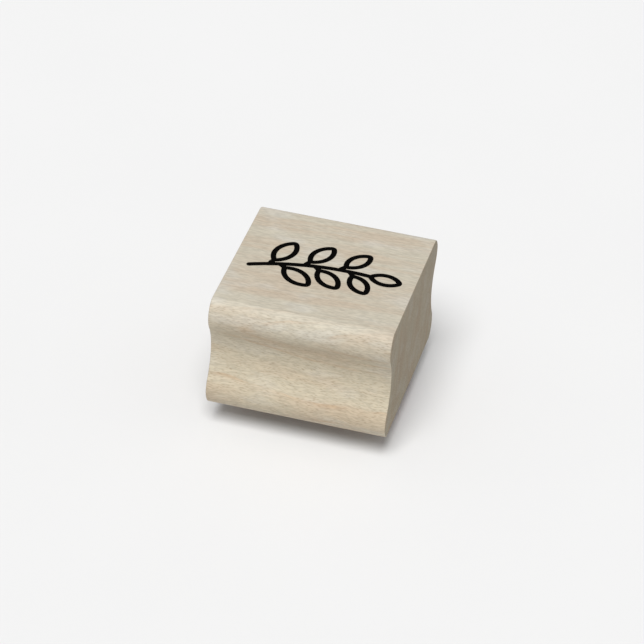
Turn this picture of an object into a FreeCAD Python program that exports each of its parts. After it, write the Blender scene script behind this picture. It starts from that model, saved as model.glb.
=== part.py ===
import FreeCAD, Part
import math
import os
import Sketcher

# A wood-mounted rubber stamp, standing on its printing face.
#
# X runs along the grain of the wooden moulding, Y from the front of the stamp to its back, and
# Z up. The origin is under the middle of the die, on the paper. The pieces are stacked upwards:
# rubber die, die adhesive, foam cushion, block adhesive, wooden block, and on the block's top
# face the index print, which repeats the drawing that the die prints. Lengths are millimetres
# and angles are degrees.

DRIVING_SIZES = [
    # wooden block, measured from the block's own bottom face
    ("block_width", 38.1),              # cut length of the moulding, end grain to end grain
    ("block_height", 25.6),
    ("base_half_depth", 20.07),         # widest point of the rounded base
    ("base_centre_height", 3.75),
    ("base_radius", 4.7),
    ("waist_half_depth", 17.2),         # narrowest point of the finger cove
    ("waist_height", 13.0),
    ("upper_cove_radius", 11.0),
    ("lip_half_depth", 19.88),          # widest point of the lip above the cove
    ("lip_height", 22.0),
    ("crease_half_depth", 17.35),       # where the shoulder meets the flat top
    ("end_easing", 0.25),               # sanded edge round both sawn ends
    # laminated layers under the block
    ("die_length", 33.8),
    ("die_depth", 20.0),
    ("die_corner_radius", 2.0),
    ("rubber_floor", 1.3),              # rubber left behind the engraved relief
    ("relief_height", 1.0),
    ("relief_draft", 14.0),             # slope of the relief's sides, from upright
    ("adhesive_thickness", 0.13),
    ("cushion_thickness", 3.0),
    # drawing that the die prints: a leafy sprig in one pen line
    ("line_width", 1.15),
    ("ink_thickness", 0.06),
    ("stem_radius", 50.0),
    ("stem_crown_across", 4.4),         # highest point of the stem's arc
    ("stem_crown_up", 0.4),
    ("stem_first_angle", -23.2),        # ends of the stem, as angles round its arc from the crown
    ("stem_last_angle", 6.0),
    ("first_leaf_angle", -18.4),        # first leaf above the stem
    ("leaf_step_angle", 8.3),           # from one pair of leaves to the next
    ("leaf_pair_shift", 2.3),           # the leaf below the stem sits a little further along
    ("leaf_spread", 52.0),              # angle between stem and leaf
    ("stalk_length", 1.9),
    ("stalk_bow", 0.12),
    ("leaf_length", 6.1),               # inside the pen line
    ("leaf_taper", 0.55),               # each pair is this much shorter than the one before
    ("leaf_slimness", 0.44),            # width of a leaf over its length, inside the pen line
    ("tip_leaf_length", 4.9),
]
LEAF_PAIRS = 3

SIZE = dict(DRIVING_SIZES)
doc = FreeCAD.newDocument("rubber_stamp")


def make_sheet():
    """Put every driving dimension in a spreadsheet cell whose alias is its name."""
    sheet = doc.addObject("Spreadsheet::Sheet", "Sizes")
    for row, (name, value) in enumerate(DRIVING_SIZES, start=1):
        sheet.set("A%d" % row, name)
        sheet.set("B%d" % row, str(value))
        sheet.setAlias("B%d" % row, name)
    doc.recompute()


def sized(formula):
    """Turn a formula in size names into an expression that reads the spreadsheet."""
    words = formula.split()
    return " ".join("Sizes." + word if word in SIZE else word for word in words)


def constrain(sketch, name, constraint, formula):
    """Add a named sketch constraint and bind its value to a formula of driving dimensions."""
    index = sketch.addConstraint(constraint)
    sketch.renameConstraint(index, name)
    sketch.setExpression("Constraints." + name, sized(formula))


def raise_to(obj, formula):
    """Bind the height of a piece's placement to the layers below it."""
    obj.setExpression("Placement.Base.z", sized(formula))


def origin_plane(body, role):
    """The plane of the body's own origin that has this role."""
    return [feature for feature in body.Origin.OriginFeatures if feature.Role == role][0]


def body_sketch(body, name, role):
    """A sketch lying on one of the body's origin planes."""
    sketch = body.newObject("Sketcher::SketchObject", name)
    sketch.AttachmentSupport = [(origin_plane(body, role), "")]
    sketch.MapMode = "FlatFace"
    return sketch


def arc(centre, radius, start_degrees, end_degrees):
    """An arc in a sketch's own plane, counter-clockwise from start to end."""
    circle = Part.Circle(FreeCAD.Vector(centre[0], centre[1], 0), FreeCAD.Vector(0, 0, 1), radius)
    return Part.ArcOfCircle(circle, math.radians(start_degrees), math.radians(end_degrees))


def line(start, end):
    return Part.LineSegment(FreeCAD.Vector(start[0], start[1], 0), FreeCAD.Vector(end[0], end[1], 0))


# ---------------------------------------------------------------- wooden block

START, END, CENTRE = 1, 2, 3
ORIGIN = -1


def draw_half_profile(sketch):
    """Back half of the moulding: flat bottom, round base, finger cove, lip, shoulder, flat top.

    The cove is two arcs that share the waist point, and every arc from base to shoulder runs
    smoothly into the next. Only the shoulder meets the flat top at a crease.
    """
    base_across = SIZE["base_half_depth"] - SIZE["base_radius"]
    base_corner = base_across + math.sqrt(SIZE["base_radius"] ** 2 - SIZE["base_centre_height"] ** 2)
    waist_across = SIZE["waist_half_depth"]
    lower_cove_guess = SIZE["upper_cove_radius"]
    lip_radius_guess = SIZE["upper_cove_radius"] / 2
    shoulder_radius_guess = SIZE["block_height"] - SIZE["lip_height"]

    bottom = sketch.addGeometry(line((0, 0), (base_corner, 0)))
    base = sketch.addGeometry(
        arc((base_across, SIZE["base_centre_height"]), SIZE["base_radius"], -53, 34))
    lower_cove = sketch.addGeometry(
        arc((waist_across + lower_cove_guess, SIZE["waist_height"]), lower_cove_guess, 180, 214))
    upper_cove = sketch.addGeometry(
        arc((waist_across + SIZE["upper_cove_radius"], SIZE["waist_height"]),
            SIZE["upper_cove_radius"], 147, 180))
    lip = sketch.addGeometry(
        arc((SIZE["lip_half_depth"] - lip_radius_guess, SIZE["lip_height"]), lip_radius_guess, -33, 0))
    shoulder = sketch.addGeometry(
        arc((SIZE["lip_half_depth"] - shoulder_radius_guess, SIZE["lip_height"]),
            shoulder_radius_guess, 0, 70))
    top = sketch.addGeometry(
        line((SIZE["crease_half_depth"], SIZE["block_height"]), (0, SIZE["block_height"])))
    middle = sketch.addGeometry(line((0, SIZE["block_height"]), (0, 0)))

    joined = [
        (bottom, START, ORIGIN, START),
        (bottom, END, base, START),
        (shoulder, END, top, START),
        (top, END, middle, START),
        (middle, END, bottom, START),
    ]
    for first, first_end, second, second_end in joined:
        sketch.addConstraint(Sketcher.Constraint("Coincident", first, first_end, second, second_end))

    smooth = [
        (base, END, lower_cove, END),
        (lower_cove, START, upper_cove, END),
        (upper_cove, START, lip, START),
        (lip, END, shoulder, START),
    ]
    for first, first_end, second, second_end in smooth:
        sketch.addConstraint(Sketcher.Constraint("Tangent", first, first_end, second, second_end))

    sketch.addConstraint(Sketcher.Constraint("Horizontal", bottom))
    sketch.addConstraint(Sketcher.Constraint("Horizontal", top))
    sketch.addConstraint(Sketcher.Constraint("Vertical", middle))
    sketch.addConstraint(Sketcher.Constraint("Horizontal", lower_cove, CENTRE, lower_cove, START))
    sketch.addConstraint(Sketcher.Constraint("Horizontal", lip, CENTRE, lip, END))

    placed = [
        ("base_centre_across", "DistanceX", base, CENTRE, base_across, "base_half_depth - base_radius"),
        ("base_centre_up", "DistanceY", base, CENTRE, SIZE["base_centre_height"], "base_centre_height"),
        ("waist_across", "DistanceX", lower_cove, START, waist_across, "waist_half_depth"),
        ("waist_up", "DistanceY", lower_cove, START, SIZE["waist_height"], "waist_height"),
        ("lip_across", "DistanceX", lip, END, SIZE["lip_half_depth"], "lip_half_depth"),
        ("lip_up", "DistanceY", lip, END, SIZE["lip_height"], "lip_height"),
        ("crease_across", "DistanceX", shoulder, END, SIZE["crease_half_depth"], "crease_half_depth"),
        ("top_up", "DistanceY", top, START, SIZE["block_height"], "block_height"),
    ]
    for name, kind, element, point, value, formula in placed:
        distance = Sketcher.Constraint(kind, ORIGIN, START, element, point, value)
        constrain(sketch, name, distance, formula)

    constrain(sketch, "base_round", Sketcher.Constraint("Radius", base, SIZE["base_radius"]),
              "base_radius")
    constrain(sketch, "cove_round",
              Sketcher.Constraint("Radius", upper_cove, SIZE["upper_cove_radius"]),
              "upper_cove_radius")


def end_edges(shape):
    """Names of the edges that lie in the two sawn ends of the moulding."""
    names = []
    for number, edge in enumerate(shape.Edges, start=1):
        box = edge.BoundBox
        at_an_end = abs(abs(box.Center.x) - SIZE["block_width"] / 2) < 1e-6
        if box.XLength < 1e-6 and at_an_end:
            names.append("Edge%d" % number)
    return names


def make_wood_block():
    body = doc.addObject("PartDesign::Body", "wood_block")
    profile = body_sketch(body, "half_profile", "YZ_Plane")
    draw_half_profile(profile)

    back_half = body.newObject("PartDesign::Pad", "back_half")
    back_half.Profile = profile
    back_half.SideType = "Symmetric"
    back_half.setExpression("Length", sized("block_width"))
    doc.recompute()

    both_halves = body.newObject("PartDesign::Mirrored", "both_halves")
    both_halves.Originals = [back_half]
    both_halves.MirrorPlane = (origin_plane(body, "XZ_Plane"), [""])
    body.Tip = both_halves
    doc.recompute()

    easing = body.newObject("PartDesign::Fillet", "eased_ends")
    easing.Base = (both_halves, end_edges(both_halves.Shape))
    easing.setExpression("Radius", sized("end_easing"))
    body.Tip = easing
    raise_to(body, "relief_height + rubber_floor + 2 * adhesive_thickness + cushion_thickness")
    return body


# ---------------------------------------------------------------- laminated layers

def draw_rounded_rectangle(sketch):
    """The outline that the die, its cushion and both adhesive films are cut to."""
    half_length = SIZE["die_length"] / 2
    half_depth = SIZE["die_depth"] / 2
    radius = SIZE["die_corner_radius"]
    inner_length = half_length - radius
    inner_depth = half_depth - radius

    front = sketch.addGeometry(line((-inner_length, -half_depth), (inner_length, -half_depth)))
    right = sketch.addGeometry(line((half_length, -inner_depth), (half_length, inner_depth)))
    back = sketch.addGeometry(line((inner_length, half_depth), (-inner_length, half_depth)))
    left = sketch.addGeometry(line((-half_length, inner_depth), (-half_length, -inner_depth)))
    sides = [front, right, back, left]
    corner_centres = [
        (inner_length, -inner_depth),
        (inner_length, inner_depth),
        (-inner_length, inner_depth),
        (-inner_length, -inner_depth),
    ]
    corners = []
    for turn, centre in enumerate(corner_centres):
        first_degrees = 90 * turn - 90
        corners.append(sketch.addGeometry(arc(centre, radius, first_degrees, first_degrees + 90)))

    for turn, corner in enumerate(corners):
        next_side = sides[(turn + 1) % 4]
        sketch.addConstraint(Sketcher.Constraint("Tangent", sides[turn], END, corner, START))
        sketch.addConstraint(Sketcher.Constraint("Tangent", corner, END, next_side, START))
    for corner in corners[1:]:
        sketch.addConstraint(Sketcher.Constraint("Equal", corners[0], corner))
    sketch.addConstraint(Sketcher.Constraint("Horizontal", front))
    sketch.addConstraint(Sketcher.Constraint("Vertical", right))
    sketch.addConstraint(Sketcher.Constraint("Horizontal", back))
    sketch.addConstraint(Sketcher.Constraint("Vertical", left))

    constrain(sketch, "corner_round", Sketcher.Constraint("Radius", corners[0], radius),
              "die_corner_radius")
    placed = [
        ("right_side", "DistanceX", right, "die_length / 2"),
        ("left_side", "DistanceX", left, "- die_length / 2"),
        ("back_side", "DistanceY", back, "die_depth / 2"),
        ("front_side", "DistanceY", front, "- die_depth / 2"),
    ]
    for name, kind, side, formula in placed:
        distance = Sketcher.Constraint(kind, ORIGIN, START, side, START, 1.0)
        constrain(sketch, name, distance, formula)


def make_layer(name, thickness, height):
    """A sheet of the die's outline, of one thickness, at one height in the stack."""
    body = doc.addObject("PartDesign::Body", name)
    outline = body_sketch(body, name + "_outline", "XY_Plane")
    draw_rounded_rectangle(outline)
    pad = body.newObject("PartDesign::Pad", name + "_sheet")
    pad.Profile = outline
    pad.setExpression("Length", sized(thickness))
    raise_to(body, height)
    return body


# ---------------------------------------------------------------- drawing of a leafy sprig

def place_off_stem(sketch, angle_formula, turn_formula, reach_formula):
    """Point a sketch's X axis out from the stem, and slide its origin out along that axis.

    The first formula says where on the stem's arc the axis starts, as an angle from the crown.
    The second says how far the axis is turned from the stem's own direction there.
    """
    heading = "( %s ) - ( %s )" % (turn_formula, angle_formula)
    on_stem_across = "stem_crown_across + stem_radius * sin( %s )" % angle_formula
    on_stem_up = "stem_crown_up - stem_radius * ( 1 - cos( %s ) )" % angle_formula
    out_across = "( %s ) * cos( %s )" % (reach_formula, heading)
    out_up = "( %s ) * sin( %s )" % (reach_formula, heading)
    sketch.setExpression("Placement.Base.x", sized("%s + %s" % (on_stem_across, out_across)))
    sketch.setExpression("Placement.Base.y", sized("%s + %s" % (on_stem_up, out_up)))
    sketch.setExpression("Placement.Rotation.Angle", sized(heading))


def draw_stem():
    """The stem: one arc about the point straight below its crown."""
    sketch = doc.addObject("Sketcher::SketchObject", "stem")
    first = SIZE["stem_first_angle"]
    last = SIZE["stem_last_angle"]
    stem = sketch.addGeometry(arc((0, 0), SIZE["stem_radius"], 90 - last, 90 - first))
    sketch.addConstraint(Sketcher.Constraint("Coincident", stem, CENTRE, ORIGIN, START))
    constrain(sketch, "round", Sketcher.Constraint("Radius", stem, SIZE["stem_radius"]), "stem_radius")
    for name, point, angle in (("tip", START, "stem_last_angle"), ("foot", END, "stem_first_angle")):
        guess = SIZE["stem_radius"] * math.sin(math.radians(SIZE[angle]))
        distance = Sketcher.Constraint("DistanceX", ORIGIN, START, stem, point, guess)
        constrain(sketch, name, distance, "stem_radius * sin( %s )" % angle)
    sketch.setExpression("Placement.Base.x", sized("stem_crown_across"))
    sketch.setExpression("Placement.Base.y", sized("stem_crown_up - stem_radius"))
    return sketch


def bowed_line(sketch, name, start, end, bow, bow_formula):
    """An arc between two points, bowed sideways from the straight line that joins them."""
    middle = ((start[0] + end[0]) / 2, (start[1] + end[1]) / 2 + bow)
    points = [FreeCAD.Vector(point[0], point[1], 0) for point in (start, middle, end)]
    bowed = sketch.addGeometry(Part.Arc(*points))
    crown = sketch.addGeometry(Part.Point(points[1]), True)
    sketch.addConstraint(Sketcher.Constraint("PointOnObject", crown, START, bowed))
    constrain(sketch, name, Sketcher.Constraint("DistanceY", ORIGIN, START, crown, START, bow),
              bow_formula)
    return bowed, crown


def ends_of(sketch, element):
    """Which end of an arc lies nearer to the sketch's Y axis, and which lies further out."""
    start = sketch.getPoint(element, START)
    end = sketch.getPoint(element, END)
    return (START, END) if start.x < end.x else (END, START)


def draw_stalk(number, angle_formula, turn_formula):
    """A short curved stalk from the stem to the foot of a leaf."""
    sketch = doc.addObject("Sketcher::SketchObject", "stalk_%d" % number)
    length = SIZE["stalk_length"]
    stalk, crown = bowed_line(sketch, "bow", (0, 0), (length, 0), SIZE["stalk_bow"], "stalk_bow")
    foot, tip = ends_of(sketch, stalk)
    sketch.addConstraint(Sketcher.Constraint("Coincident", stalk, foot, ORIGIN, START))
    sketch.addConstraint(Sketcher.Constraint("PointOnObject", stalk, tip, ORIGIN))
    constrain(sketch, "reach", Sketcher.Constraint("DistanceX", ORIGIN, START, stalk, tip, length),
              "stalk_length")
    constrain(sketch, "crown_across",
              Sketcher.Constraint("DistanceX", ORIGIN, START, crown, START, length / 2),
              "stalk_length / 2")
    place_off_stem(sketch, angle_formula, turn_formula, "0")
    return sketch


def draw_leaf(number, angle_formula, turn_formula, foot_formula, length, length_formula):
    """An almond-shaped leaf outline: two equal arcs that meet at its foot and at its tip."""
    sketch = doc.addObject("Sketcher::SketchObject", "leaf_%d" % number)
    half_width = SIZE["leaf_slimness"] * length / 2
    sides = []
    for name, bow, sign in (("left_bow", half_width, ""), ("right_bow", -half_width, "-")):
        formula = "%s leaf_slimness * ( %s ) / 2" % (sign, length_formula)
        sides.append(bowed_line(sketch, name, (0, 0), (length, 0), bow, formula))
    left, left_crown = sides[0]
    right, right_crown = sides[1]
    left_foot, left_tip = ends_of(sketch, left)
    right_foot, right_tip = ends_of(sketch, right)
    sketch.addConstraint(Sketcher.Constraint("Coincident", left, left_foot, ORIGIN, START))
    sketch.addConstraint(Sketcher.Constraint("Coincident", right, right_foot, left, left_foot))
    sketch.addConstraint(Sketcher.Constraint("Coincident", right, right_tip, left, left_tip))
    sketch.addConstraint(Sketcher.Constraint("PointOnObject", left, left_tip, ORIGIN))
    constrain(sketch, "reach", Sketcher.Constraint("DistanceX", ORIGIN, START, left, left_tip, length),
              length_formula)
    for name, crown in (("left_middle", left_crown), ("right_middle", right_crown)):
        constrain(sketch, name,
                  Sketcher.Constraint("DistanceX", ORIGIN, START, crown, START, length / 2),
                  "( %s ) / 2" % length_formula)
    place_off_stem(sketch, angle_formula, turn_formula, foot_formula)
    return sketch


def draw_sprig():
    """Sketches of every pen line in the sprig: open lines, and closed leaf outlines."""
    open_lines = [draw_stem()]
    closed_lines = []
    leaf_foot = "stalk_length + line_width / 2"
    for pair in range(LEAF_PAIRS):
        length = SIZE["leaf_length"] - pair * SIZE["leaf_taper"]
        length_formula = "leaf_length - %d * leaf_taper" % pair
        above = "first_leaf_angle + %d * leaf_step_angle" % pair
        below = above + " + leaf_pair_shift"
        for angle, turn in ((above, "leaf_spread"), (below, "- leaf_spread")):
            number = len(closed_lines) + 1
            open_lines.append(draw_stalk(number, angle, turn))
            closed_lines.append(draw_leaf(number, angle, turn, leaf_foot, length, length_formula))
    tip_leaf = draw_leaf(len(closed_lines) + 1, "stem_last_angle", "0", "line_width / 2",
                         SIZE["tip_leaf_length"], "tip_leaf_length")
    closed_lines.append(tip_leaf)
    return open_lines, closed_lines


def pen_lines(open_lines, closed_lines):
    """Give every sketch the width of the pen: a flat face with round ends and corners."""
    faces = []
    widths = [(sketch, "line_width / 2") for sketch in open_lines]
    widths += [(sketch, "line_width") for sketch in closed_lines]
    for sketch, width in widths:
        face = doc.addObject("Part::Offset2D", sketch.Name + "_line")
        face.Source = sketch
        face.Mode = "Pipe"
        face.Fill = True
        face.setExpression("Value", sized(width))
        faces.append(face)
    return faces


def raised_lines(faces, ending, height, draft):
    """Raise every pen line into a solid, with upright or sloping sides."""
    solids = []
    for face in faces:
        solid = doc.addObject("Part::Extrusion", face.Name + ending)
        solid.Base = face
        solid.DirMode = "Custom"
        solid.Dir = FreeCAD.Vector(0, 0, 1)
        solid.Solid = True
        solid.setExpression("LengthFwd", sized(height))
        solid.setExpression("TaperAngle", sized(draft))
        solids.append(solid)
    return solids


def make_index_print(faces):
    """The ink of the drawing, lying on the block's top face."""
    ink = doc.addObject("Part::MultiFuse", "index_print")
    ink.Shapes = raised_lines(faces, "_ink", "ink_thickness", "0")
    ink.Refine = True
    raise_to(ink, "relief_height + rubber_floor + 2 * adhesive_thickness + cushion_thickness"
                  " + block_height")
    return ink


def make_rubber_die(faces):
    """The engraved rubber: a floor sheet with the drawing standing down from it to the paper."""
    floor = make_layer("rubber_floor_sheet", "rubber_floor", "relief_height")
    die = doc.addObject("Part::MultiFuse", "rubber_die")
    die.Shapes = [floor] + raised_lines(faces, "_relief", "relief_height", "relief_draft")
    die.Refine = True
    return die


# ---------------------------------------------------------------- build, check and write

def check_states():
    """Stop if any object of the document failed to recompute."""
    for obj in doc.Objects:
        if "Invalid" in obj.State or "Error" in obj.State:
            raise RuntimeError("%s is %s" % (obj.Name, obj.State))


def write_pieces(pieces):
    """Check each piece's solid and write it to a file named after it."""
    for piece in pieces:
        if piece.Shape.isNull() or not piece.Shape.isValid():
            raise RuntimeError("%s has no valid shape" % piece.Label)
    os.makedirs("parts", exist_ok=True)
    for piece in pieces:
        box = piece.Shape.BoundBox
        print("%-16s %2d solid(s) %9.2f mm3   x %7.2f %7.2f   y %7.2f %7.2f   z %6.2f %6.2f" % (
            piece.Label, len(piece.Shape.Solids), piece.Shape.Volume,
            box.XMin, box.XMax, box.YMin, box.YMax, box.ZMin, box.ZMax))
        piece.Shape.exportStep("parts/%s.step" % piece.Label)


make_sheet()
drawing = pen_lines(*draw_sprig())
stamp = [
    make_rubber_die(drawing),
    make_layer("die_adhesive", "adhesive_thickness", "relief_height + rubber_floor"),
    make_layer("foam_cushion", "cushion_thickness",
               "relief_height + rubber_floor + adhesive_thickness"),
    make_layer("block_adhesive", "adhesive_thickness",
               "relief_height + rubber_floor + adhesive_thickness + cushion_thickness"),
    make_wood_block(),
    make_index_print(drawing),
]
doc.recompute()
check_states()
write_pieces(stamp)
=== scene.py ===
import math

import bmesh
import bpy
from mathutils import Matrix, Vector, noise


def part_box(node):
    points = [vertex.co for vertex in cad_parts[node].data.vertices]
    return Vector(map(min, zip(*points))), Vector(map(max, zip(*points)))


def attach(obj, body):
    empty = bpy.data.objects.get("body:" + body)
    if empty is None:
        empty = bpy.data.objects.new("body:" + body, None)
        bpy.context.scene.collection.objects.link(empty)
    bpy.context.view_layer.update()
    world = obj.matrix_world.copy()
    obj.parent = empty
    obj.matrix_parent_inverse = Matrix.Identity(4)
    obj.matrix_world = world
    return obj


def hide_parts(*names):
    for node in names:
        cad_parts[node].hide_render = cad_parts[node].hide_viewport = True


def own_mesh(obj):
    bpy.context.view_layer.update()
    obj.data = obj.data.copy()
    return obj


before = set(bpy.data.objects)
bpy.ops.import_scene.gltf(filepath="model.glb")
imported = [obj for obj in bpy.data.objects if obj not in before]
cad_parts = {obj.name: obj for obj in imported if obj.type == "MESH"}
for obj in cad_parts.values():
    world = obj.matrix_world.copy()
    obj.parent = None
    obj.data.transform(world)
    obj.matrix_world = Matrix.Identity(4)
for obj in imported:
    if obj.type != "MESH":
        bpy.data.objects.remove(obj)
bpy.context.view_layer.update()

# A wood-mounted rubber stamp. The CAD nodes keep their shapes and get their materials here. Only
# the foam cushion is built again, with rough cut sides. Lengths are metres, unless the name says
# MM. The materials draw their patterns in millimetres, from the stamp's own coordinates.

MM = 0.001


# ---------------------------------------------------------------- material kit

class Surface:
    """A procedural material: one Principled shader, and the nodes that feed it."""

    def __init__(self, name, **constants):
        self.material = bpy.data.materials.new(name)
        self.material.use_nodes = True
        self.tree = self.material.node_tree
        self.shader = self.tree.nodes["Principled BSDF"]
        for socket, value in constants.items():
            self.shader.inputs[socket.replace("_", " ")].default_value = value
        self.coordinates = self.add("ShaderNodeTexCoord")
        # the stamp's own coordinates, in millimetres
        self.point = self.stretched(self.coordinates.outputs["Object"], (1 / MM, 1 / MM, 1 / MM))

    def add(self, kind, **settings):
        node = self.tree.nodes.new(kind)
        for setting, value in settings.items():
            setattr(node, setting, value)
        return node

    def feed(self, socket, value):
        """Link a socket to another socket, or set it to a constant."""
        if isinstance(value, bpy.types.NodeSocket):
            self.tree.links.new(value, socket)
        else:
            socket.default_value = value

    def math(self, operation, *values):
        node = self.add("ShaderNodeMath", operation=operation)
        for socket, value in zip(node.inputs, values):
            self.feed(socket, value)
        return node.outputs[0]

    def total(self, first, *others):
        result = first
        for value in others:
            result = self.math("ADD", result, value)
        return result

    def product(self, first, *others):
        result = first
        for value in others:
            result = self.math("MULTIPLY", result, value)
        return result

    def swing(self, value, amount):
        """A pattern that runs from 0 to 1, turned into one that swings evenly about zero."""
        return self.math("MULTIPLY_ADD", value, amount, -0.5 * amount)

    def stretched(self, vector, factors):
        node = self.add("ShaderNodeVectorMath", operation="MULTIPLY")
        self.feed(node.inputs[0], vector)
        node.inputs[1].default_value = factors
        return node.outputs[0]

    def moved(self, vector, offset):
        node = self.add("ShaderNodeVectorMath", operation="ADD")
        self.feed(node.inputs[0], vector)
        node.inputs[1].default_value = offset
        return node.outputs[0]

    def axes(self, vector):
        node = self.add("ShaderNodeSeparateXYZ")
        self.feed(node.inputs[0], vector)
        return node.outputs

    def joined(self, x, y, z):
        node = self.add("ShaderNodeCombineXYZ")
        for socket, value in zip(node.inputs, (x, y, z)):
            self.feed(socket, value)
        return node.outputs[0]

    def cloud(self, per_mm, detail=2.0, roughness=0.5):
        """Soft noise with its own frequency along each axis, in cycles for each millimetre."""
        node = self.add("ShaderNodeTexNoise", noise_dimensions="3D")
        self.feed(node.inputs["Vector"], self.stretched(self.point, per_mm))
        node.inputs["Scale"].default_value = 1.0
        node.inputs["Detail"].default_value = detail
        node.inputs["Roughness"].default_value = roughness
        return node.outputs["Fac"]

    def layers(self, depth, per_mm, detail=2.0, roughness=0.5):
        """Noise that changes in one direction only, such as from ring to ring."""
        node = self.add("ShaderNodeTexNoise", noise_dimensions="1D")
        self.feed(node.inputs["W"], self.product(depth, per_mm))
        node.inputs["Scale"].default_value = 1.0
        node.inputs["Detail"].default_value = detail
        node.inputs["Roughness"].default_value = roughness
        return node.outputs["Fac"]

    def specks(self, vector, per_mm, near, far, dimensions="3D"):
        """Separate specks, one in each stretched cell: 1 at the middle, 0 outside."""
        node = self.add("ShaderNodeTexVoronoi", feature="F1", voronoi_dimensions=dimensions)
        self.feed(node.inputs["Vector"], self.stretched(vector, per_mm))
        node.inputs["Scale"].default_value = 1.0
        return self.step(node.outputs["Distance"], far, near)

    def step(self, value, start, end, low=0.0, high=1.0):
        """A smooth step from low at start to high at end."""
        node = self.add("ShaderNodeMapRange", interpolation_type="SMOOTHSTEP")
        self.feed(node.inputs["Value"], value)
        node.inputs["From Min"].default_value = start
        node.inputs["From Max"].default_value = end
        node.inputs["To Min"].default_value = low
        node.inputs["To Max"].default_value = high
        return node.outputs["Result"]

    def mixed(self, factor, first, second, mode="MIX"):
        node = self.add("ShaderNodeMix", data_type="RGBA", blend_type=mode)
        colours = [socket for socket in node.inputs if socket.type == "RGBA"]
        self.feed(node.inputs["Factor"], factor)
        self.feed(colours[0], first)
        self.feed(colours[1], second)
        return [socket for socket in node.outputs if socket.type == "RGBA"][0]

    def shaded(self, colour, shade):
        """A colour multiplied by a number or by another colour."""
        return self.mixed(1.0, colour, shade, "MULTIPLY")

    def bumped(self, height, depth_mm, strength):
        node = self.add("ShaderNodeBump")
        node.inputs["Strength"].default_value = strength
        node.inputs["Distance"].default_value = depth_mm * MM
        self.feed(node.inputs["Height"], height)
        self.feed(self.shader.inputs["Normal"], node.outputs["Normal"])

    def paint(self, colour, roughness):
        self.feed(self.shader.inputs["Base Color"], colour)
        self.feed(self.shader.inputs["Roughness"], roughness)


def rgb(red, green, blue):
    return (red, green, blue, 1.0)


# ---------------------------------------------------------------- maple

CREAM = rgb(0.508, 0.466, 0.377)
ROSY = rgb(0.493, 0.420, 0.327)
# the pale colour below is painted sheen: pale patches that stand in for a highlight on the wood
PAINTED_SHEEN_COLOUR = rgb(0.545, 0.518, 0.455)
RING_LINE = rgb(0.431, 0.272, 0.155)
RAY_FLECK = rgb(0.240, 0.165, 0.100)
# the tint below is painted warm light: it multiplies the colour of the front and back
PAINTED_WARM_LIGHT = rgb(0.980, 0.945, 0.875)    # multiplies the colour of the front and back
END_GRAIN = rgb(0.665, 0.625, 0.560)    # multiplies the colour of the sawn ends

BOARD_PLACE_MM = (-52.0, 24.0, 40.0)    # where in the board the block was cut from
RING_SPACING_MM = 1.7
RING_WANDER_MM = 6.0
RING_LEAN = -0.16                       # how far the rings drift back for each millimetre of height
RING_DRIFT = 0.066                      # and for each millimetre of X, at the bottom of the block
RING_TWIST = -0.0045                    # how that changes for each millimetre of height
WAVE_HEIGHT_MM = 1.5
RIPPLE_HEIGHT_MM = 0.22
WAVE_DEPTH_SHARE = 0.5                  # the grain waves half as much from front to back
# the warm tone on the front is painted warm light
WARM_BELOW_MM = 22.0                    # the front's warm tone fades between these two heights
COOL_ABOVE_MM = 29.5

# How often each pattern repeats along X, Y and Z, in cycles for each millimetre. The grain runs
# along X, so most of them are longest that way.
WAVES = (0.130, 0.180, 0.180)
RIPPLES = (0.450, 0.350, 0.350)
WANDER = (0.020, 0.045, 0.060)
TONE_PATCHES = (0.060, 0.150, 0.180)
# the patches of painted sheen
PAINTED_SHEEN_PER_MM = (0.080, 0.200, 0.240)
LINE_BREAKS = (0.120, 0.420, 0.420)
FIBRES = (0.160, 2.600, 2.600)
PORES = (0.550, 3.700, 3.700)
RAY_PATCHES = (0.300, 0.150, 0.500)
END_PORES = (0.500, 3.200, 3.200)
SAW_STROKES = (0.020, 1.600, 0.110)
RAYS_SEEN_FROM_FRONT = (0.60, 3.10, 1.0)    # along X and Z
BANDS_PER_MM = 0.24
STRONG_YEARS_PER_MM = 0.31


def bend_the_grain(wood):
    """Give the pattern space small waves, because the grain is not quite straight."""
    straight = wood.axes(wood.moved(wood.point, BOARD_PLACE_MM))
    wave = wood.swing(wood.cloud(WAVES, detail=1.0), WAVE_HEIGHT_MM)
    ripple = wood.swing(wood.cloud(RIPPLES, detail=1.0), RIPPLE_HEIGHT_MM)
    sway = wood.total(wave, ripple)
    wood.point = wood.joined(
        straight["X"],
        wood.total(straight["Y"], wood.product(sway, WAVE_DEPTH_SHARE)),
        wood.total(straight["Z"], sway),
    )


def ring_depth(wood, block):
    """How deep a point lies in the growth rings, in millimetres."""
    across = wood.axes(wood.point)
    drift = wood.math("MULTIPLY_ADD", block["Z"], RING_TWIST, RING_DRIFT)
    return wood.total(
        across["Y"],
        wood.product(block["X"], drift),
        wood.product(across["Z"], RING_LEAN),
        wood.swing(wood.cloud(WANDER), RING_WANDER_MM),
    )


def broad_tone(wood, depth):
    """Rosy and cream bands that follow the rings, with pale patches of painted sheen."""
    bands = wood.layers(depth, BANDS_PER_MM, detail=3.0, roughness=0.6)
    patches = wood.cloud(TONE_PATCHES, detail=3.0)
    rosy = wood.total(wood.product(bands, 0.6), wood.product(patches, 0.4))
    colour = wood.mixed(wood.step(rosy, 0.42, 0.60), CREAM, ROSY)
    # painted sheen: pale patches laid into the colour at random places
    painted_sheen = wood.step(wood.cloud(PAINTED_SHEEN_PER_MM), 0.50, 0.68)
    return wood.mixed(wood.product(painted_sheen, 0.60), colour, PAINTED_SHEEN_COLOUR)


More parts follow.
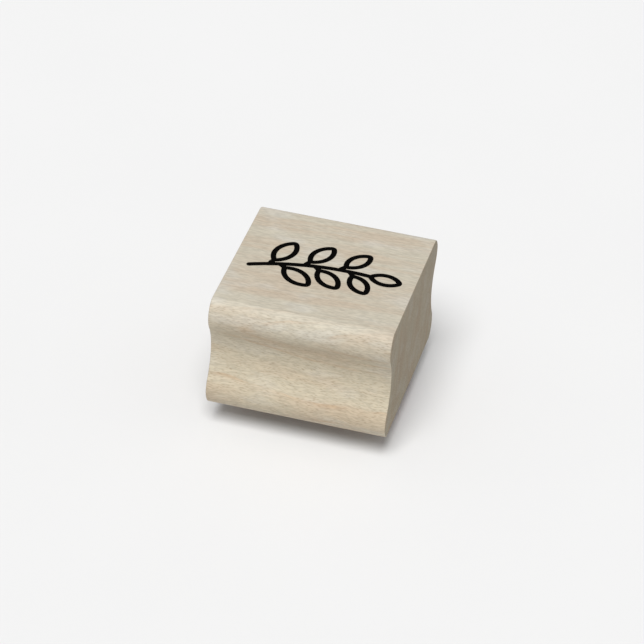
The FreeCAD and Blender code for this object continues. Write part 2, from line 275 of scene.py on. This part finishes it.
def ring_lines(wood, depth):
    """A thin line at the end of each year. Some years are faint, and every line is broken."""
    year = wood.math("FRACT", wood.math("DIVIDE", depth, RING_SPACING_MM))
    rise = wood.step(year, 0.66, 0.93)
    fall = wood.step(year, 0.93, 1.00, low=1.0, high=0.0)
    years = wood.layers(depth, STRONG_YEARS_PER_MM, detail=1.0)
    strong = wood.step(years, 0.42, 0.66, low=0.25)
    unbroken = wood.step(wood.cloud(LINE_BREAKS), 0.40, 0.62, low=0.15)
    return wood.product(rise, fall, strong, unbroken)


def ray_flecks(wood, flat_sawn):
    """Medullary rays: thin sheets that run from front to back through the wood.

    The front and back cut across them, so they show there as short dashes along the grain.
    """
    across = wood.axes(wood.point)
    from_front = wood.joined(across["X"], across["Z"], 0.0)
    rays = wood.specks(from_front, RAYS_SEEN_FROM_FRONT, 0.02, 0.31, "2D")
    patches = wood.step(wood.cloud(RAY_PATCHES), 0.34, 0.66, low=0.45)
    return wood.product(rays, patches, flat_sawn)


def maple():
    """Pale maple, as one solid pattern that carries round the block from face to face.

    The growth rings stand upright, nearly parallel to the front face. So they show as close
    straight lines on the top, as wide wandering figure where the moulded front and back cut
    through them at a slant, and as upright streaks on the sawn ends.
    """
    wood = Surface("maple", Specular_IOR_Level=0.40)
    block = wood.axes(wood.point)
    facing = wood.axes(wood.coordinates.outputs["Normal"])
    sawn_end = wood.step(wood.math("ABSOLUTE", facing["X"]), 0.55, 0.85)
    flat_sawn = wood.step(wood.math("ABSOLUTE", facing["Y"]), 0.35, 0.90)
    bend_the_grain(wood)
    depth = ring_depth(wood, block)

    # tone, ring lines, and the fibres and pores, which are thin darker dashes along the grain
    colour = broad_tone(wood, depth)
    line_strength = wood.step(flat_sawn, 0.0, 1.0, 0.17, 0.66)
    lines = wood.product(ring_lines(wood, depth), line_strength)
    colour = wood.mixed(lines, colour, RING_LINE)
    fibres = wood.cloud(FIBRES, detail=2.0, roughness=0.60)
    pores = wood.cloud(PORES, detail=1.0, roughness=0.60)
    fibre_shade = wood.step(fibres, 0.28, 0.72, 0.955, 1.035)
    pore_shade = wood.step(pores, 0.34, 0.64, 0.89, 1.06)
    colour = wood.shaded(colour, wood.product(fibre_shade, pore_shade))
    rays = ray_flecks(wood, flat_sawn)
    colour = wood.mixed(wood.product(rays, 0.56), colour, RAY_FLECK)

    # painted warm light: the front and back are tinted warmer than the top, as a warm light would
    # tint them, but less so towards the lip
    below_lip = wood.step(block["Z"], WARM_BELOW_MM, COOL_ABOVE_MM, low=1.0, high=0.35)
    painted_warm_light = wood.product(flat_sawn, below_lip)
    colour = wood.mixed(painted_warm_light, colour, wood.shaded(colour, PAINTED_WARM_LIGHT))

    # on the sawn ends the open grain is darker and greyer, and fuzzy across the fibres
    end_pores = wood.cloud(END_PORES, detail=3.0, roughness=0.7)
    saw_strokes = wood.cloud(SAW_STROKES, detail=3.0, roughness=0.6)
    end_pore_shade = wood.step(end_pores, 0.30, 0.70, 0.91, 1.08)
    saw_shade = wood.step(saw_strokes, 0.3, 0.7, 0.95, 1.05)
    end_colour = wood.shaded(colour, END_GRAIN)
    end_colour = wood.shaded(end_colour, wood.product(end_pore_shade, saw_shade))
    colour = wood.mixed(sawn_end, colour, end_colour)

    height = wood.total(
        wood.product(fibres, 0.4),
        wood.product(pores, 0.7),
        wood.product(rays, -0.6),
        wood.product(sawn_end, end_pores, 1.2),
        wood.product(sawn_end, saw_strokes, 0.8),
    )
    wood.bumped(height, depth_mm=0.06, strength=0.6)
    face_roughness = wood.step(pores, 0.3, 0.7, 0.60, 0.52)
    wood.paint(colour, wood.total(face_roughness, wood.product(sawn_end, 0.25)))
    return wood.material


# ---------------------------------------------------------------- ink, films, rubber and foam

DEEP_BLACK = rgb(0.0016, 0.0014, 0.0013)
THIN_BLACK = rgb(0.0080, 0.0065, 0.0050)


def index_ink():
    """Black ink on bare wood: matt, a little thin over the hard lines of the grain."""
    ink = Surface("index_ink", Specular_IOR_Level=0.02)
    grain = ink.cloud((0.200, 3.500, 3.500), detail=4.0, roughness=0.65)
    blotches = ink.cloud((0.600, 0.900, 0.900), detail=2.0)
    thin = ink.product(ink.step(grain, 0.58, 0.80), ink.step(blotches, 0.35, 0.70), 0.55)
    ink.bumped(grain, depth_mm=0.03, strength=0.5)
    ink.paint(ink.mixed(thin, DEEP_BLACK, THIN_BLACK), ink.step(grain, 0.3, 0.7, 0.66, 0.80))
    return ink.material


CLEAR_FILM = rgb(0.66, 0.62, 0.50)
MILKY_FILM = rgb(0.78, 0.75, 0.66)
FILM_DUST = rgb(0.30, 0.27, 0.22)


def adhesive_film():
    """Clear acrylic transfer film, milky in patches and flecked with trapped dust."""
    film = Surface("adhesive_film", Specular_IOR_Level=0.45)
    milk = film.cloud((0.700, 0.700, 3.000), detail=3.0)
    dust = film.specks(film.point, (1.6, 1.6, 1.6), 0.05, 0.16)
    colour = film.mixed(film.step(milk, 0.35, 0.65), CLEAR_FILM, MILKY_FILM)
    colour = film.mixed(film.product(dust, 0.5), colour, FILM_DUST)
    film.bumped(milk, depth_mm=0.04, strength=0.4)
    film.paint(colour, film.step(milk, 0.3, 0.7, 0.28, 0.48))
    return film.material


PRINT_LEVEL_MM = 0.06                   # below this, the rubber is the untouched printing face
CUT_LEVEL_MM = 0.12                     # and above this, the engraving has cut it away
ENGRAVED_ROW_MM = 0.25
SMOOTH_RED = (rgb(0.335, 0.080, 0.055), rgb(0.395, 0.105, 0.070))
ENGRAVED_RED = (rgb(0.235, 0.060, 0.045), rgb(0.345, 0.115, 0.085))


def die_rubber():
    """Brick-red stamp rubber: smooth on the printing face, with fine rows on the engraved floor."""
    rubber = Surface("die_rubber", Specular_IOR_Level=0.30)
    across = rubber.axes(rubber.point)
    facing = rubber.axes(rubber.coordinates.outputs["Normal"])
    level = rubber.step(rubber.math("ABSOLUTE", facing["Z"]), 0.60, 0.90)
    cut_away = rubber.step(across["Z"], PRINT_LEVEL_MM, CUT_LEVEL_MM)
    engraved = rubber.product(cut_away, level)
    rows = rubber.math("SINE", rubber.product(across["Y"], 2.0 * math.pi / ENGRAVED_ROW_MM))
    dashes = rubber.cloud((0.900, 4.000, 2.000), detail=2.0)
    rows = rubber.math("MULTIPLY_ADD", rows, 0.5, rubber.swing(dashes, 1.6))
    blotches = rubber.cloud((0.150, 0.150, 0.150), detail=3.0)
    grit = rubber.cloud((5.000, 5.000, 5.000), detail=3.0, roughness=0.7)
    smooth_colour = rubber.mixed(rubber.step(blotches, 0.35, 0.65), *SMOOTH_RED)
    engraved_colour = rubber.mixed(rubber.step(rows, -0.6, 0.7), *ENGRAVED_RED)
    colour = rubber.mixed(engraved, smooth_colour, engraved_colour)
    colour = rubber.shaded(colour, rubber.step(grit, 0.25, 0.75, 0.90, 1.07))
    height = rubber.total(rubber.product(rows, engraved, 0.5), rubber.product(grit, 0.5))
    rubber.bumped(height, depth_mm=0.05, strength=0.5)
    rubber.paint(colour, rubber.step(engraved, 0.0, 1.0, 0.55, 0.82))
    return rubber.material


FOAM_CELLS_PER_MM = 4.2
FOAM_GREY = (rgb(0.170, 0.175, 0.185), rgb(0.215, 0.220, 0.228))


def cushion_foam():
    """Grey closed-cell foam: tiny cut cells, each with painted shade in its hollow middle inside a
    paler rim.
    """
    foam = Surface("cushion_foam", Specular_IOR_Level=0.20, Sheen_Weight=0.15, Sheen_Roughness=0.5)
    per_mm = (FOAM_CELLS_PER_MM, FOAM_CELLS_PER_MM, FOAM_CELLS_PER_MM)
    pits = foam.specks(foam.point, per_mm, near=0.18, far=0.62)
    tone = foam.cloud((0.200, 0.200, 0.600), detail=3.0)
    colour = foam.mixed(foam.step(tone, 0.35, 0.65), *FOAM_GREY)
    # painted shade: each cut cell is darkened towards its hollow middle
    colour = foam.shaded(colour, foam.step(pits, 0.0, 1.0, 1.12, 0.62))
    foam.bumped(foam.product(pits, -1.0), depth_mm=0.06, strength=0.7)
    foam.paint(colour, foam.step(pits, 0.0, 1.0, 0.78, 0.92))
    return foam.material


def dress(node_name, material):
    """Give a CAD node its finished material."""
    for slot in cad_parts[node_name].material_slots:
        slot.material = material


# ---------------------------------------------------------------- foam cushion

CORNER_RADIUS_MM = 2.0
FOAM_STEP_MM = 0.28                     # size of the mesh's squares
FOAM_WAIST_MM = 0.10                    # the cut sides are drawn in a little at half height
FOAM_ROUGHNESS_MM = 0.05                # how deep the cut sides are torn
FOAM_TEAR_MM = 0.45                     # and how far from one torn place to the next


def rounded_outline(half_length, half_depth, radius, step):
    """Evenly spaced points round a rounded rectangle, each with its outward direction."""
    arc_count = max(4, round(math.pi / 2 * radius / step))
    arcs = []
    for sign_x, sign_y, first_degrees in [(1, -1, -90), (1, 1, 0), (-1, 1, 90), (-1, -1, 180)]:
        centre = Vector((sign_x * (half_length - radius), sign_y * (half_depth - radius)))
        arc = []
        for number in range(arc_count + 1):
            angle = math.radians(first_degrees + 90 * number / arc_count)
            outward = Vector((math.cos(angle), math.sin(angle)))
            arc.append((centre + radius * outward, outward))
        arcs.append(arc)
    outline = []
    for arc, next_arc in zip(arcs, arcs[1:] + arcs[:1]):
        start, outward = arc[-1]
        run = next_arc[0][0] - start
        count = max(2, round(run.length / step))
        outline += arc
        outline += [(start + run * number / count, outward) for number in range(1, count)]
    return outline


def skin(mesh, rings):
    """Four-sided faces between each closed ring of points and the next."""
    for lower, upper in zip(rings, rings[1:]):
        count = len(lower)
        for number in range(count):
            after = (number + 1) % count
            mesh.faces.new((lower[number], lower[after], upper[after], upper[number]))


def smooth_sides(data):
    """Shade the four-sided faces smooth, and leave the flat ends flat."""
    for polygon in data.polygons:
        polygon.use_smooth = len(polygon.vertices) == 4


def make_cushion():
    """The foam cushion: flat where it is glued, with rough, slightly drawn-in cut sides."""
    low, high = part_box("foam_cushion")
    step = FOAM_STEP_MM * MM
    outline = rounded_outline(high.x, high.y, CORNER_RADIUS_MM * MM, step)
    thickness = high.z - low.z
    levels = round(thickness / step)
    mesh = bmesh.new()
    rings = []
    for level in range(levels + 1):
        share = level / levels
        waist = FOAM_WAIST_MM * MM * math.sin(math.pi * share)
        ring = []
        for point, outward in outline:
            place = Vector((point.x, point.y, low.z + share * thickness))
            torn = noise.fractal(place / (FOAM_TEAR_MM * MM), 1.0, 2.0, 3)
            inward = waist + FOAM_ROUGHNESS_MM * MM * (0.5 + 0.5 * torn)
            place.x -= outward.x * inward
            place.y -= outward.y * inward
            ring.append(mesh.verts.new(place))
        rings.append(ring)
    skin(mesh, rings)
    mesh.faces.new(list(reversed(rings[0])))
    mesh.faces.new(rings[-1])
    data = bpy.data.meshes.new("foam_cushion_cut")
    mesh.to_mesh(data)
    mesh.free()
    cushion = bpy.data.objects.new("foam_cushion_cut", data)
    bpy.context.scene.collection.objects.link(cushion)
    smooth_sides(data)
    data.materials.append(cushion_foam())

    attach(cushion, "die_pad")
    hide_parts("foam_cushion")
    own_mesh(cushion)


# ---------------------------------------------------------------- floor, light and camera

FLOOR_RADIUS = 2.2
RIM_RADIUS = 0.25                       # the floor's edge curves up, as a studio's paper does
RIM_STEPS = 16
FLOOR_SIDES = 96
PAPER_WHITE = (rgb(0.74, 0.74, 0.74), rgb(0.76, 0.76, 0.76))


def make_floor():
    """A wide pale floor that sweeps up at its far edge, so that low views see no horizon."""
    mesh = bmesh.new()
    rings = []
    for step in range(RIM_STEPS, -1, -1):
        slope = math.radians(90.0 * step / RIM_STEPS)
        reach = FLOOR_RADIUS + RIM_RADIUS * math.sin(slope)
        rise = RIM_RADIUS * (1.0 - math.cos(slope))
        ring = []
        for side in range(FLOOR_SIDES):
            turn = 2.0 * math.pi * side / FLOOR_SIDES
            ring.append(mesh.verts.new((reach * math.cos(turn), reach * math.sin(turn), rise)))
        rings.append(ring)
    skin(mesh, rings)
    mesh.faces.new(rings[-1])
    data = bpy.data.meshes.new("floor")
    mesh.to_mesh(data)
    mesh.free()
    smooth_sides(data)
    floor = bpy.data.objects.new("floor", data)
    bpy.context.scene.collection.objects.link(floor)
    paper = Surface("floor_paper", Specular_IOR_Level=0.1)
    tooth = paper.cloud((0.02, 0.02, 0.02), detail=2.0)
    paper.paint(paper.mixed(tooth, *PAPER_WHITE), 0.9)
    data.materials.append(paper.material)


KEY_ELEVATION = 62.0                    # degrees above the floor, straight in front
KEY_STRENGTH = 3.00
KEY_SPREAD = 33.0                       # degrees across, as a large soft box looks from the stamp
TENT_STRENGTH = 0.37


def make_lights():
    """Even studio light: a bright tent all round, and one large soft key high in front."""
    world = bpy.data.worlds.new("tent")
    world.use_nodes = True
    background = world.node_tree.nodes["Background"]
    background.inputs["Color"].default_value = rgb(1.0, 1.0, 1.0)
    background.inputs["Strength"].default_value = TENT_STRENGTH
    bpy.context.scene.world = world
    data = bpy.data.lights.new("key", "SUN")
    data.energy = KEY_STRENGTH
    data.angle = math.radians(KEY_SPREAD)
    key = bpy.data.objects.new("key", data)
    bpy.context.scene.collection.objects.link(key)
    key.rotation_euler = (math.radians(90.0 - KEY_ELEVATION), 0.0, 0.0)


CAMERA_AZIMUTH = 13.55                  # degrees to the right of straight in front
CAMERA_ELEVATION = 35.74
CAMERA_ROLL = 3.23
CAMERA_DISTANCE = 0.6345
CAMERA_LENS_MM = 169.1
CAMERA_AIM = (-0.00150, 0.00552, 0.01351)


def make_camera():
    """A long lens in front and a little to the right, looking down, with a slight tilt."""
    azimuth = math.radians(CAMERA_AZIMUTH)
    elevation = math.radians(CAMERA_ELEVATION)
    back = Vector((
        math.sin(azimuth) * math.cos(elevation),
        -math.cos(azimuth) * math.cos(elevation),
        math.sin(elevation),
    ))
    level_right = Vector((0.0, 0.0, 1.0)).cross(back).normalized()
    level_up = back.cross(level_right)
    turn = Matrix.Rotation(math.radians(CAMERA_ROLL), 3, back)
    right = turn @ level_right
    up = turn @ level_up
    data = bpy.data.cameras.new("camera")
    data.lens = CAMERA_LENS_MM
    data.clip_start = 0.01
    data.clip_end = 20.0
    camera = bpy.data.objects.new("camera", data)
    bpy.context.scene.collection.objects.link(camera)
    axes = Matrix((right, up, back)).transposed().to_4x4()
    camera.matrix_world = Matrix.Translation(Vector(CAMERA_AIM) + CAMERA_DISTANCE * back) @ axes
    bpy.context.scene.camera = camera


# ---------------------------------------------------------------- the stamp

dress("wood_block", maple())
dress("index_print", index_ink())
dress("rubber_die", die_rubber())
film_finish = adhesive_film()
dress("block_adhesive", film_finish)
dress("die_adhesive", film_finish)
make_cushion()

make_floor()
make_lights()
make_camera()
bpy.context.scene.view_settings.view_transform = "Standard"
